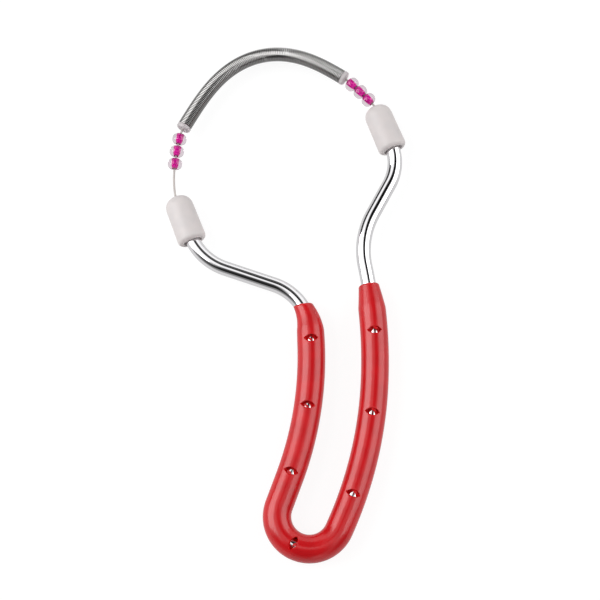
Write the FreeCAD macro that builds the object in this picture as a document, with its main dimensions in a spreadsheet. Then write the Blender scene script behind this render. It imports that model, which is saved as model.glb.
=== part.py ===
"""Facial hair removal spring: a bowed close-wound spring strung on a cord between the ends of a
bent steel rod, with a moulded grip over the rod's U bend.

It lies flat as it comes to rest. X runs to the right and Y from the U bend to the spring, with the
rod's centre line in one level plane. The origin is under the middle of its outline, on the surface
that it lies on.
"""

import FreeCAD, Part
import Sketcher
import math
import os

V = FreeCAD.Vector
UP = V(0, 0, 1)

# Driving dimensions, in millimetres and degrees
SIZES = {
    # Steel rod, from its left end to its right end
    "rod_diameter": 5.0,
    "left_lean_angle": 69.0,
    "left_neck_radius": 19.6,
    "left_neck_turn": 49.9,
    "left_arm": 17.4,
    "left_shoulder_radius": 18.2,
    "left_shoulder_turn": 66.3,
    "left_leg_radius": 117.0,
    "left_leg_turn": 24.9,
    "left_foot": 9.6,
    "bend_radius": 10.5,
    "bend_turn": 175.6,
    "right_leg_radius": 134.8,
    "right_leg_turn": 21.4,
    "right_upper_radius": 165.2,
    "right_upper_turn": 14.2,
    "right_shoulder_radius": 27.8,
    "right_shoulder_turn": 39.0,
    "right_arm": 12.3,
    "right_neck_radius": 17.6,
    "right_neck_turn": 49.7,
    # Moulded grip
    "grip_diameter": 9.2,
    "grip_tip_diameter": 6.8,
    "grip_taper": 8.2,
    "grip_tip_round": 0.7,
    "left_bare_rod": 47.5,
    "right_bare_rod": 53.3,
    "window_length": 4.9,
    "window_width": 2.4,
    "window_from_left_tip": 11.8,
    "window_from_right_tip": 16.7,
    "left_window_pitch": 22.7,
    "right_window_pitch": 27.8,
    "windows_per_leg": 3,
    "bend_window_share": 0.46,
    # Caps on the rod's ends
    "cap_length": 17.0,
    "cap_nose_diameter": 9.4,
    "cap_mouth_diameter": 9.9,
    "cap_nose_round": 3.8,
    "cap_rim_round": 1.4,
    "cap_rim_chamfer": 0.25,
    "cap_mouth_wall": 1.8,
    "cap_mouth_depth": 5.1,
    "cap_seat_depth": 6.0,
    "cap_seat_clearance": 0.01,
    "cap_straight": 2.9,
    "knot_chamber": 3.2,
    "knot_diameter": 2.2,
    # Cord
    "cord_diameter": 0.75,
    "cord_clearance": 0.25,
    "nose_bend": 1.5,
    "bare_cord": 8.6,
    "cord_nose_angle": 98.4,
    "left_beads_start_angle": 86.1,
    "left_beads_finish_angle": 76.4,
    "plug_swing_angle": 2.0,
    "spring_start_angle": 60.7,
    "spring_finish_angle": -32.6,
    "right_beads_start_angle": -41.7,
    "right_beads_finish_angle": -48.2,
    # Beads and the plugs at the spring's ends
    "bead_diameter": 4.9,
    "bead_length": 3.6,
    "bead_bore": 1.6,
    "bead_round": 1.25,
    "bead_gap": 0.44,
    "loose_bead_gap": 1.0,
    "beads_per_side": 3,
    "left_plug_gap": 1.4,
    "right_plug_gap": 0.9,
    "plug_head": 1.5,
    "plug_round": 0.7,
    "plug_spigot": 3.0,
    "plug_spigot_clearance": 0.15,
    # Close-wound spring
    "spring_diameter": 5.0,
    "spring_length": 68.8,
    "bow_skew_ratio": 1.17,
    "wire_diameter": 0.55,
    "turn_clearance": 0.01,
}

# How finely the spring is drawn: arcs along its bow, and straight stretches in each turn
BOW_ARCS = 10
STRETCHES_PER_TURN = 10

# Millimetres below which two places are the same, a stretch is left out, and the cord meets its knot
SAME_PLACE = 1e-4
SHORTEST_STRETCH = 1e-6
CORD_MEETS = 1e-9
# How far the cord's lean and bow are moved to see how they carry its end, and how often at most
SMALL_TURN = 1e-5
MOST_TRIES = 30


class Size:
    """A length or angle that knows its value and the sheet expression that gives it."""

    def __init__(self, value, text):
        self.value = value
        self.text = text

    def _with(self, sign, other, value):
        text = other.text if isinstance(other, Size) else repr(float(other))
        return Size(value, f"({self.text} {sign} {text})")

    def __add__(self, other):
        return self._with("+", other, self.value + float(other))

    def __sub__(self, other):
        return self._with("-", other, self.value - float(other))

    def __mul__(self, other):
        return self._with("*", other, self.value * float(other))

    def __truediv__(self, other):
        return self._with("/", other, self.value / float(other))

    def __float__(self):
        return float(self.value)


class Route:
    """A flat line of straight runs and tangent arcs, followed by the distance from its start.

    Each run is a length and the angle in degrees that it turns through, to the left if positive.
    """

    def __init__(self, start, heading, runs):
        self.runs = []
        point, distance = start, 0.0
        for length, turn in runs:
            self.runs.append((distance, length, turn, point, heading))
            point = self._step(point, heading, length, turn)
            heading += turn
            distance += length
        self.length = distance

    @staticmethod
    def _step(point, heading, length, turn):
        half = math.radians(turn) / 2
        chord = length * (math.sin(half) / half if half else 1.0)
        along = math.radians(heading) + half
        return point + V(math.cos(along), math.sin(along), 0) * chord

    def _run(self, distance):
        for run in reversed(self.runs):
            if distance >= run[0]:
                return run
        return self.runs[0]

    def at(self, distance):
        """The point and the heading in degrees at a distance."""
        begin, length, turn, point, heading = self._run(distance)
        part = distance - begin
        swept = turn * part / length
        return self._step(point, heading, part, swept), heading + swept

    def curvature(self, distance):
        """How sharply the line turns at a distance, in radians per millimetre."""
        run = self._run(distance)
        return math.radians(run[2]) / run[1]

    def wire(self, first, last):
        """The stretch between two distances as one wire of lines and arcs."""
        edges = []
        for begin, length, turn, _, _ in self.runs:
            low, high = max(first, begin), min(last, begin + length)
            if high - low < SHORTEST_STRETCH:
                continue
            start, middle, end = [self.at(d)[0] for d in (low, (low + high) / 2, high)]
            edge = Part.Arc(start, middle, end) if turn else Part.LineSegment(start, end)
            edges.append(edge.toShape())
        return Part.Wire(edges)


def direction(heading):
    """The level direction of a heading in degrees."""
    return V(math.cos(math.radians(heading)), math.sin(math.radians(heading)), 0)


def frame_at(route, distance, back, reverse=False):
    """A placement with local X along a route, whose origin lies back from the place at a distance."""
    point, heading = route.at(distance)
    if reverse:
        heading += 180
    return FreeCAD.Placement(point - direction(heading) * back, FreeCAD.Rotation(UP, heading))


doc = FreeCAD.newDocument("hair_removal_spring")
sheet = doc.addObject("Spreadsheet::Sheet", "sizes")
for row, (name, number) in enumerate(SIZES.items(), start=1):
    sheet.set(f"A{row}", name)
    sheet.set(f"B{row}", str(number))
    sheet.setAlias(f"B{row}", name)
doc.recompute()


def size(name):
    return Size(SIZES[name], f"sizes.{name}")


def turned_body(label, corners):
    """A body turned about its own X axis from a closed outline of (x, y) sizes."""
    body = doc.addObject("PartDesign::Body", label)
    body.Label = label
    sketch = body.newObject("Sketcher::SketchObject", f"{label}_outline")
    plane = next(f for f in body.Origin.OriginFeatures if f.Role == "XY_Plane")
    sketch.AttachmentSupport = [(plane, "")]
    sketch.MapMode = "FlatFace"
    points = [V(float(x), float(y), 0) for x, y in corners]
    count = len(points)
    for n in range(count):
        sketch.addGeometry(Part.LineSegment(points[n], points[(n + 1) % count]), False)
    for n in range(count):
        sketch.addConstraint(Sketcher.Constraint("Coincident", n, 2, (n + 1) % count, 1))
    for n, (x, y) in enumerate(corners):
        for kind, axis, value in (("DistanceX", -2, x), ("DistanceY", -1, y)):
            if isinstance(value, Size):
                index = sketch.addConstraint(Sketcher.Constraint(kind, -1, 1, n, 1, float(value)))
                sketch.setExpression(f"Constraints[{index}]", value.text)
            else:
                sketch.addConstraint(Sketcher.Constraint("PointOnObject", n, 1, axis))
    turned = body.newObject("PartDesign::Revolution", f"{label}_turned")
    turned.Profile = sketch
    turned.ReferenceAxis = (sketch, ["H_Axis"])
    turned.Angle = 360
    doc.recompute()
    return body


def round_rings(body, name, radius, rings):
    """Rounds the circular edges of a turned body that lie at the given (x, radius) sizes."""
    base = body.Tip
    edges = []
    for n, edge in enumerate(base.Shape.Edges, start=1):
        if not isinstance(edge.Curve, Part.Circle):
            continue
        for x, y in rings:
            off_x = abs(edge.Curve.Center.x - float(x))
            off_y = abs(edge.Curve.Radius - float(y))
            if max(off_x, off_y) < SAME_PLACE:
                edges.append(f"Edge{n}")
    fillet = body.newObject("PartDesign::Fillet", f"{body.Label}_{name}")
    fillet.Base = (base, edges)
    fillet.Radius = float(radius)
    fillet.setExpression("Radius", radius.text)
    doc.recompute()


def spine(name, route, first, last):
    """A stretch of a route as a wire that sections are swept along."""
    line = doc.addObject("Part::Feature", name)
    line.Shape = route.wire(first, last)
    return line


def ring(name, radius, route, distance):
    """A circle square to a route at a distance."""
    circle = doc.addObject("Part::Circle", name)
    circle.Radius = float(radius)
    circle.setExpression("Radius", radius.text)
    point, heading = route.at(distance)
    across = FreeCAD.Rotation(UP, heading) * FreeCAD.Rotation(V(0, 1, 0), 90)
    circle.Placement = FreeCAD.Placement(point, across)
    return circle


def swept(name, route, first, last, *radii):
    """A round bar along a route, from the first radius to the last."""
    line = spine(f"{name}_line", route, first, last)
    places = [first, last]
    rings = [ring(f"{name}_ring_{n}", r, route, places[n]) for n, r in enumerate(radii)]
    bar = doc.addObject("Part::Sweep", name)
    bar.Sections = rings
    bar.Spine = (line, [f"Edge{n + 1}" for n in range(len(line.Shape.Edges))])
    bar.Solid = True
    bar.Frenet = False
    return bar


# The rod's centre line
rod_radius = size("rod_diameter") / 2
rest_height = SIZES["cap_mouth_diameter"] / 2


def arc(name, side):
    """An arc of the rod as a length and a turn, to the left for side 1 and to the right for -1."""
    turn = SIZES[f"{name}_turn"]
    return SIZES[f"{name}_radius"] * math.radians(turn), side * turn


socket_run = SIZES["cap_seat_depth"] + SIZES["cap_straight"]
rod_runs = [
    (socket_run, 0),
    arc("left_neck", 1),
    (SIZES["left_arm"], 0),
    arc("left_shoulder", -1),
    arc("left_leg", -1),
    (SIZES["left_foot"], 0),
    arc("bend", 1),
    arc("right_leg", 1),
    arc("right_upper", 1),
    arc("right_shoulder", -1),
    (SIZES["right_arm"], 0),
    arc("right_neck", 1),
    (socket_run, 0),
]
rod_line = Route(V(0, 0, rest_height), -SIZES["left_lean_angle"], rod_runs)

rod = swept("frame_rod", rod_line, 0, rod_line.length, rod_radius)

# The grip moulded over the rod, tapered at both tips
left_tip = SIZES["left_bare_rod"] + socket_run
right_tip = rod_line.length - SIZES["right_bare_rod"] - socket_run
taper = SIZES["grip_taper"]
full = size("grip_diameter") / 2
tip = size("grip_tip_diameter") / 2
left_cone = swept("grip_left_taper", rod_line, left_tip, left_tip + taper, tip, full)
middle = swept("grip_middle", rod_line, left_tip + taper, right_tip - taper, full)
right_cone = swept("grip_right_taper", rod_line, right_tip - taper, right_tip, full, tip)
grip_solid = doc.addObject("Part::MultiFuse", "grip_solid")
grip_solid.Shapes = [left_cone, middle, right_cone]
grip_solid.Refine = True
doc.recompute()

# The tips' outer edges are rounded
grip_round = doc.addObject("Part::Fillet", "grip_rounded")
grip_round.Base = grip_solid
tip_round = SIZES["grip_tip_round"]
tip_ends = [rod_line.at(left_tip)[0], rod_line.at(right_tip)[0]]
for n, edge in enumerate(grip_solid.Shape.Edges, start=1):
    if any((edge.CenterOfMass - end).Length < tip_round / 2 for end in tip_ends):
        grip_round.Edges += [(n, tip_round, tip_round)]

# Windows where the mould's pins held the rod: lens-shaped, across the leg, through both faces
window_places = []
for n in range(SIZES["windows_per_leg"]):
    window_places.append(left_tip + SIZES["window_from_left_tip"] + n * SIZES["left_window_pitch"])
    window_places.append(right_tip - SIZES["window_from_right_tip"] - n * SIZES["right_window_pitch"])
bend_starts = sum(length for length, _ in rod_runs[:6])
bend_length = rod_runs[6][0]
window_places.append(bend_starts + bend_length * SIZES["bend_window_share"])

long, wide = size("window_length"), size("window_width")
lens_radius = (long * long + wide * wide) / (wide * 4)
lens_offset = lens_radius - wide / 2
windows = []
for n, place in enumerate(window_places, start=1):
    point, heading = rod_line.at(place)
    discs = []
    for side in (1, -1):
        disc = doc.addObject("Part::Cylinder", f"window_{n}_{'fore' if side > 0 else 'aft'}")
        disc.setExpression("Radius", lens_radius.text)
        disc.setExpression("Height", (full * 2).text)
        offset = direction(heading) * (side * float(lens_offset))
        disc.Placement.Base = point + offset - UP * float(full)
        discs.append(disc)
    lens = doc.addObject("Part::MultiCommon", f"window_{n}")
    lens.Shapes = discs
    windows.append(lens)

bore = swept("grip_bore", rod_line, left_tip - taper, right_tip + taper, rod_radius)
cutters = doc.addObject("Part::MultiFuse", "grip_cutters")
cutters.Shapes = windows + [bore]
grip = doc.addObject("Part::Cut", "handle_grip")
grip.Base = grip_round
grip.Tool = cutters

# Caps: a nose that the cord leaves by, a knot chamber, a seat for the rod's end and a wider mouth
cord_radius = size("cord_diameter") / 2
cord_hole = cord_radius + size("cord_clearance")
seat_radius = rod_radius + size("cap_seat_clearance")
nose, mouth = size("cap_nose_diameter") / 2, size("cap_mouth_diameter") / 2
cap_long = size("cap_length")
mouth_from = cap_long - size("cap_mouth_depth")
seat_from = mouth_from - size("cap_seat_depth")
chamber_from = seat_from - size("knot_chamber")
chamber_radius = size("knot_diameter") / 2 + size("cord_clearance")
mouth_bore = mouth - size("cap_mouth_wall")
cap_corners = [
    (0, cord_hole),
    (0, nose),
    (cap_long, mouth),
    (cap_long, mouth_bore),
    (mouth_from, mouth_bore),
    (mouth_from, seat_radius),
    (seat_from, seat_radius),
    (seat_from, chamber_radius),
    (chamber_from, chamber_radius),
    (chamber_from, cord_hole),
]
caps = []
for side in ("left", "right"):
    cap = turned_body(f"{side}_cap", cap_corners)
    round_rings(cap, "nose", size("cap_nose_round"), [(0, nose)])
    round_rings(cap, "rim", size("cap_rim_round"), [(cap_long, mouth)])
    round_rings(cap, "lip", size("cap_rim_chamfer"), [(cap_long, mouth_bore)])
    caps.append(cap)

# The rod's ends stop on the seats' inner shoulders
nose_reach = float(seat_from)
left_inward = direction(-SIZES["left_lean_angle"])
left_nose = rod_line.at(0)[0] - left_inward * nose_reach
right_end, right_heading = rod_line.at(rod_line.length)
right_outward = direction(right_heading)
right_nose = right_end + right_outward * nose_reach
caps[0].Placement = FreeCAD.Placement(left_nose, FreeCAD.Rotation(UP, -SIZES["left_lean_angle"]))
caps[1].Placement = FreeCAD.Placement(right_nose, FreeCAD.Rotation(UP, right_heading + 180))

# The cord's route, from the knot in one cap to the knot in the other
bead_count = SIZES["beads_per_side"]
left_row = bead_count * (SIZES["bead_length"] + SIZES["loose_bead_gap"])
right_row = bead_count * (SIZES["bead_length"] + SIZES["bead_gap"])
inner_run = nose_reach - SIZES["knot_chamber"] / 2
spring_arc = SIZES["spring_length"] / BOW_ARCS


def cord_runs(lean, bow):
    """The cord's runs when every heading outside the caps is scaled by bow and turned by lean."""
    middle_heading = (SIZES["spring_start_angle"] + SIZES["spring_finish_angle"]) / 2
    swing = (SIZES["spring_start_angle"] - SIZES["spring_finish_angle"]) / 2
    stops = [
        (SIZES["nose_bend"], SIZES["cord_nose_angle"]),
        (SIZES["bare_cord"], SIZES["left_beads_start_angle"]),
        (left_row, SIZES["left_beads_finish_angle"]),
        (SIZES["left_plug_gap"], SIZES["spring_start_angle"] + SIZES["plug_swing_angle"]),
        (SIZES["plug_head"], SIZES["spring_start_angle"]),
    ]
    for n in range(1, BOW_ARCS + 1):
        turned = math.cos(math.pi * (n / BOW_ARCS) ** SIZES["bow_skew_ratio"])
        stops.append((spring_arc, middle_heading + swing * turned))
    stops += [
        (SIZES["plug_head"], SIZES["spring_finish_angle"] - SIZES["plug_swing_angle"]),
        (SIZES["right_plug_gap"], SIZES["right_beads_start_angle"]),
        (right_row, SIZES["right_beads_finish_angle"]),
    ]
    heading = 180 - SIZES["left_lean_angle"]
    runs = [(inner_run, 0)]
    for length, wanted in stops:
        target = lean + bow * wanted
        runs.append((length, target - heading))
        heading = target
    runs.append((SIZES["nose_bend"], right_heading - 180 - heading))
    runs.append((inner_run, 0))
    return runs


def cord_route(lean, bow):
    """The cord from knot to knot with that lean and bow."""
    knot = left_nose + left_inward * inner_run
    return Route(knot, 180 - SIZES["left_lean_angle"], cord_runs(lean, bow))


def cord_miss(lean, bow):
    """How far the cord's far end lies from its knot in the right cap."""
    route = cord_route(lean, bow)
    knot = right_nose - right_outward * inner_run
    gap = route.at(route.length)[0] - knot
    return gap.x, gap.y


lean, bow = 0.0, 1.0
for _ in range(MOST_TRIES):
    x, y = cord_miss(lean, bow)
    if math.hypot(x, y) < CORD_MEETS:
        break
    leaned = cord_miss(lean + SMALL_TURN, bow)
    bowed = cord_miss(lean, bow + SMALL_TURN)
    lean_x, lean_y = [(b - a) / SMALL_TURN for a, b in zip((x, y), leaned)]
    bow_x, bow_y = [(b - a) / SMALL_TURN for a, b in zip((x, y), bowed)]
    whole = lean_x * bow_y - bow_x * lean_y
    lean -= (x * bow_y - bow_x * y) / whole
    bow -= (lean_x * y - x * lean_y) / whole
cord_line = cord_route(lean, bow)
print(f"The cord is {cord_line.length:.1f} mm long, with lean {lean:.2f} and bow {bow:.3f}")

cord_bar = swept("cord_line_bar", cord_line, 0, cord_line.length, cord_radius)
knots = []
for name, distance in (("left_knot", 0), ("right_knot", cord_line.length)):
    knot = doc.addObject("Part::Sphere", name)
    knot.setExpression("Radius", (size("knot_diameter") / 2).text)
    knot.Placement.Base = cord_line.at(distance)[0]
    knots.append(knot)
cord = doc.addObject("Part::MultiFuse", "cord")
cord.Shapes = [cord_bar] + knots

# Where each thing on the cord begins
beads_from = inner_run + SIZES["nose_bend"] + SIZES["bare_cord"]
spring_from = beads_from + left_row + SIZES["left_plug_gap"] + SIZES["plug_head"]
spring_to = spring_from + SIZES["spring_length"]
right_beads_from = spring_to + SIZES["plug_head"] + SIZES["right_plug_gap"]

# Beads, numbered from the cap towards the spring on the left and from the spring on the right
bead_radius, bead_hole = size("bead_diameter") / 2, size("bead_bore") / 2
bead_long = size("bead_length")
bead_corners = [(0, bead_hole), (0, bead_radius), (bead_long, bead_radius), (bead_long, bead_hole)]
bead_ends = [(0, bead_radius), (bead_long, bead_radius)]
sides = (
    ("left", beads_from, SIZES["loose_bead_gap"]),
    ("right", right_beads_from, SIZES["bead_gap"]),
)
beads = []
for side, begin, gap in sides:
    for n in range(bead_count):
        bead = turned_body(f"{side}_bead_{n + 1}", bead_corners)
        round_rings(bead, "round", size("bead_round"), bead_ends)
        middle = begin + (n + 0.5) * (SIZES["bead_length"] + gap)
        bead.Placement = frame_at(cord_line, middle, SIZES["bead_length"] / 2)
        beads.append(bead)

# Plugs with a spigot in each end of the spring
spring_radius = size("spring_diameter") / 2
spring_bore = spring_radius - size("wire_diameter")
spigot_radius = spring_bore - size("plug_spigot_clearance")
plug_head = size("plug_head")
plug_long = plug_head + size("plug_spigot")
plug_corners = [
    (0, cord_hole),
    (0, spring_radius),
    (plug_head, spring_radius),
    (plug_head, spigot_radius),
    (plug_long, spigot_radius),
    (plug_long, cord_hole),
]
plugs = []
for side, distance, reverse in (("left", spring_from, False), ("right", spring_to, True)):
    plug = turned_body(f"{side}_plug", plug_corners)
    round_rings(plug, "round", size("plug_round"), [(0, spring_radius)])
    plug.Placement = frame_at(cord_line, distance, SIZES["plug_head"], reverse)
    plugs.append(plug)


def spring_strand():
    """One strand wound round the cord's bowed line, its turns shut on the inside of the bow.

    Its section is a diamond as wide and as deep as the wire, and each turn is a few straight
    stretches, so flat facets join the four edges that run along it.
    """
    wire = SIZES["wire_diameter"]
    outer = SIZES["spring_diameter"] / 2
    section = [(wire / 2, 0), (0, wire / 2), (-wire / 2, 0), (0, -wire / 2)]
    rims = []
    distance = spring_from + wire / 2 + SIZES["turn_clearance"]
    while distance < spring_to - wire / 2 - SIZES["turn_clearance"]:
        ahead = direction(cord_line.at(distance)[1])
        beside = V(-ahead.y, ahead.x, 0)
        angle = 2 * math.pi * len(rims) / STRETCHES_PER_TURN
        outward = beside * math.cos(angle) + UP * math.sin(angle)
        centre = cord_line.at(distance)[0] + outward * (outer - wire / 2)
        rims.append([centre + outward * out + ahead * forth for out, forth in section])
        shut_on_inside = 1 - outer * abs(cord_line.curvature(distance))
        distance += (wire + SIZES["turn_clearance"]) / shut_on_inside / STRETCHES_PER_TURN
    facets = []
    for near, far in zip(rims, rims[1:]):
        for n in range(len(section)):
            side = (near[n], near[n - 1], far[n], far[n - 1])
            facets += [(side[0], side[1], side[2]), (side[1], side[3], side[2])]
    facets += [rims[0], rims[-1]]
    shell = Part.makeShell([Part.Face(Part.makePolygon([*points, points[0]])) for points in facets])
    shell.sewShape()
    solid = Part.makeSolid(shell)
    if solid.Volume < 0:
        solid.reverse()
    return solid


spring = doc.addObject("Part::Feature", "coil_spring")
spring.Shape = spring_strand()

# Every piece stands over the origin by the middle of the whole outline
doc.recompute()
pieces = [rod, grip, *caps, cord, spring, *plugs, *beads]
outline = FreeCAD.BoundBox()
for piece in pieces:
    piece.Label = piece.Name
    outline.add(piece.Shape.optimalBoundingBox(False, False))
shift = V(-outline.Center.x, -outline.Center.y, -outline.ZMin)
for piece in pieces:
    place = piece.Placement
    place.Base += shift
    piece.Placement = place
doc.recompute()

for item in doc.Objects:
    if "Invalid" in item.State or "Error" in item.State:
        raise RuntimeError(f"{item.Label} failed: {item.State}")
for piece in pieces:
    if piece.Shape.isNull() or not piece.Shape.isValid():
        raise RuntimeError(f"{piece.Label} is not a valid shape")

os.makedirs("parts", exist_ok=True)
for piece in pieces:
    piece.Shape.exportStep(f"parts/{piece.Label}.step")
    print(piece.Label, "solids", len(piece.Shape.Solids), "volume", round(piece.Shape.Volume, 2))
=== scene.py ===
"""Facial hair removal spring, dressed and lit for its photograph.

The CAD model is the frame. Each of its nodes is stood for by a smooth surface of the same sizes: the
plated rod, the moulded grip with its windows, the caps, the cord, the wound spring, its plugs and the
lined glass beads. Lengths are in millimetres until a surface becomes a mesh, which is in metres.
"""

import logging
import math
from collections.abc import Sequence
from dataclasses import dataclass, field
from enum import Enum

import bpy
import numpy as np
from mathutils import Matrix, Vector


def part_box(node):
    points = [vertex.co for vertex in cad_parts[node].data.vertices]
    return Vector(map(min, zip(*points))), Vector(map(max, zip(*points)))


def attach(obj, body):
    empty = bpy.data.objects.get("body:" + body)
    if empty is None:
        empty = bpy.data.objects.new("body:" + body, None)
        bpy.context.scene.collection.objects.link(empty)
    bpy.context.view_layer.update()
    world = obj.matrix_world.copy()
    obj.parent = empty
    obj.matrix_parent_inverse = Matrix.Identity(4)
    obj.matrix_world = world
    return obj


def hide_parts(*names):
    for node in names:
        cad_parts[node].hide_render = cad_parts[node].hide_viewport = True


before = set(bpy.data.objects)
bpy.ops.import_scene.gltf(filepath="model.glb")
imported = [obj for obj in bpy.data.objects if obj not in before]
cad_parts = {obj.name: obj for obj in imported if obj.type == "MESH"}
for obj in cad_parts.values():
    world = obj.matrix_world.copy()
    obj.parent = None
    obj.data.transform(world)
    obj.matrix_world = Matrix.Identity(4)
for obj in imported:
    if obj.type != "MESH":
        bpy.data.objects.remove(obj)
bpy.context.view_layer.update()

MM = 0.001
UP = np.array([0.0, 0.0, 1.0])
TOOL = "tool"
SHARP_ANGLE = math.radians(40)
ANGLE_DIGITS = 9
SURFACE_MAP = "surface"

Colour = tuple[float, float, float]
Place = tuple[np.ndarray, float]
Material = bpy.types.Material
Mesh = bpy.types.Mesh
NodeGroup = bpy.types.ShaderNodeTree
Socket = bpy.types.NodeSocket
log = logging.getLogger("hair_removal_spring")


class Side(Enum):
    """The two ends of the rod, seen from above."""

    LEFT = "left"
    RIGHT = "right"


# Lines and surfaces


@dataclass(frozen=True)
class Run:
    """A stretch of a line: its length, and the degrees that it turns through, to the left if positive."""

    length: float
    turn: float = 0.0


def arc(radius: float, turn: float) -> Run:
    """The run of an arc of that radius and turn in degrees."""
    return Run(radius * math.radians(abs(turn)), turn)


def level(heading: float) -> np.ndarray:
    """The level direction of a heading in radians, as x and y."""
    return np.array([math.cos(heading), math.sin(heading)])


class BentLine:
    """A level line of straight runs and tangent arcs, read by the distance from its start.

    On a run that begins at P with heading h, a part of length p that turns through w ends at
    P + p * sin(w/2)/(w/2) * (cos(h + w/2), sin(h + w/2)), and its heading is h + w.
    """

    def __init__(self, start: Sequence[float], heading: float, runs: Sequence[Run]) -> None:
        """Lays the runs end to end.

        Args:
            start: The first point, x and y.
            heading: The first heading in degrees.
            runs: The runs in order.
        """
        self.lengths = np.array([run.length for run in runs])
        self.turns = np.radians([run.turn for run in runs])
        self.begins = np.concatenate([[0.0], np.cumsum(self.lengths)[:-1]])
        self.headings = math.radians(heading) + np.concatenate([[0.0], np.cumsum(self.turns)[:-1]])
        steps = self._step(self.headings, self.lengths, self.turns)
        self.points = np.array(start) + np.concatenate([[[0.0, 0.0]], np.cumsum(steps, axis=0)[:-1]])
        self.length = float(self.lengths.sum())
        self.finish = self.points[-1] + steps[-1]

    @staticmethod
    def _step(heading: np.ndarray, length: np.ndarray, turn: np.ndarray) -> np.ndarray:
        """The chord of each arc, as in the class's formula.

        Args:
            heading: The heading that each arc starts with.
            length: The length of each arc.
            turn: The angle that each arc turns through.

        Returns:
            The steps, as rows of x and y.
        """
        chord = length * np.sinc(turn / 2 / np.pi)
        along = heading + turn / 2
        return np.stack([chord * np.cos(along), chord * np.sin(along)], axis=-1)

    def _run_at(self, distance: np.ndarray) -> np.ndarray:
        """The number of the run that each distance is on."""
        return np.clip(np.searchsorted(self.begins, distance, side="right") - 1, 0, len(self.begins) - 1)

    def at(self, distance: np.ndarray | float) -> tuple[np.ndarray, np.ndarray]:
        """Reads the line.

        Args:
            distance: Distances from the start.

        Returns:
            The points as rows of x and y, and the headings in radians.
        """
        distance = np.atleast_1d(np.asarray(distance, float))
        index = self._run_at(distance)
        part = distance - self.begins[index]
        swept = self.turns[index] * part / self.lengths[index]
        points = self.points[index] + self._step(self.headings[index], part, swept)
        return points, self.headings[index] + swept

    def spot(self, distance: float) -> Place:
        """The point at one distance, and the heading there in radians."""
        points, headings = self.at(distance)
        return points[0], float(headings[0])

    def curvature(self, distance: np.ndarray) -> np.ndarray:
        """How sharply the line turns at each distance, in radians per millimetre."""
        index = self._run_at(distance)
        return self.turns[index] / self.lengths[index]

    def runs(self) -> list[Run]:
        """The line's runs in order."""
        return [Run(length, math.degrees(turn)) for length, turn in zip(self.lengths, self.turns)]

    def moved(self, offset: np.ndarray) -> "BentLine":
        """The same line moved by x and y."""
        return BentLine(self.points[0] + offset, math.degrees(self.headings[0]), self.runs())

    def longer(self, extra: float) -> "BentLine":
        """The same line with a straight run of that length before it and after it."""
        start = self.points[0] - level(self.headings[0]) * extra
        return BentLine(start, math.degrees(self.headings[0]), [Run(extra), *self.runs(), Run(extra)])


def sides_of(headings: np.ndarray) -> tuple[np.ndarray, np.ndarray]:
    """The level directions along some headings and to their left.

    Args:
        headings: The headings in radians.

    Returns:
        The directions ahead and those to the left, as rows of three.
    """
    zero = np.zeros_like(headings)
    ahead = np.stack([np.cos(headings), np.sin(headings), zero], axis=-1)
    beside = np.stack([-np.sin(headings), np.cos(headings), zero], axis=-1)
    return ahead, beside


def lifted(flat: np.ndarray, height: float) -> np.ndarray:
    """Level points given a height."""
    return np.concatenate([flat, np.full((len(flat), 1), height)], axis=1)


def turned_to(first: np.ndarray, second: np.ndarray, angles: np.ndarray) -> np.ndarray:
    """The directions at some angles from a first one towards a second: first * cos a + second * sin a."""
    return first * np.cos(angles)[..., None] + second * np.sin(angles)[..., None]


def ring_angles(count: int, extra: Sequence[float] = ()) -> np.ndarray:
    """Even angles round a ring, with a few more where fine detail needs them."""
    even = np.linspace(0, 2 * np.pi, count, endpoint=False)
    return np.unique(np.round(np.concatenate([even, np.mod(extra, 2 * np.pi)]), ANGLE_DIGITS))


def skin(
    line: BentLine, height: float, along: np.ndarray, radii: np.ndarray, angles: np.ndarray
) -> np.ndarray:
    """The surface of a round bar whose radius changes along a line.

    P(s, a) = C(s) + r(s, a) * (B(s) * cos a + Z * sin a), with C the line at that height and B to its left.

    Args:
        line: The centre line.
        height: How high the line lies.
        along: The distances of the rings.
        radii: Their radii, one for each ring, or one for each ring and angle.
        angles: The angles round each ring.

    Returns:
        The points, as rings of points of three.
    """
    flat, headings = line.at(along)
    _, beside = sides_of(headings)
    radii = radii.reshape(len(along), -1)[..., None]
    return lifted(flat, height)[:, None, :] + radii * turned_to(beside[:, None, :], UP, angles)


def grid_faces(
    rows: int, columns: int, ring: bool = False
) -> tuple[list[list[int]], np.ndarray, np.ndarray]:
    """The faces of a grid whose columns close on themselves.

    Args:
        rows: How many rows of points it has.
        columns: How many points are in a row.
        ring: Whether the last row joins the first. If not, both ends are closed by flat faces.

    Returns:
        The faces, and the row and the column of each quad's corners, counted on past the last ones.
    """
    row, column = np.meshgrid(np.arange(rows if ring else rows - 1), np.arange(columns), indexing="ij")
    corner_rows = np.stack([row, row, row + 1, row + 1], axis=-1).reshape(-1, 4)
    corner_columns = np.stack([column, column + 1, column + 1, column], axis=-1).reshape(-1, 4)
    faces = (corner_rows % rows * columns + corner_columns % columns).tolist()
    if not ring:
        faces.append(list(range(columns))[::-1])
        faces.append(list(range((rows - 1) * columns, rows * columns)))
    return faces, corner_rows, corner_columns


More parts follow.
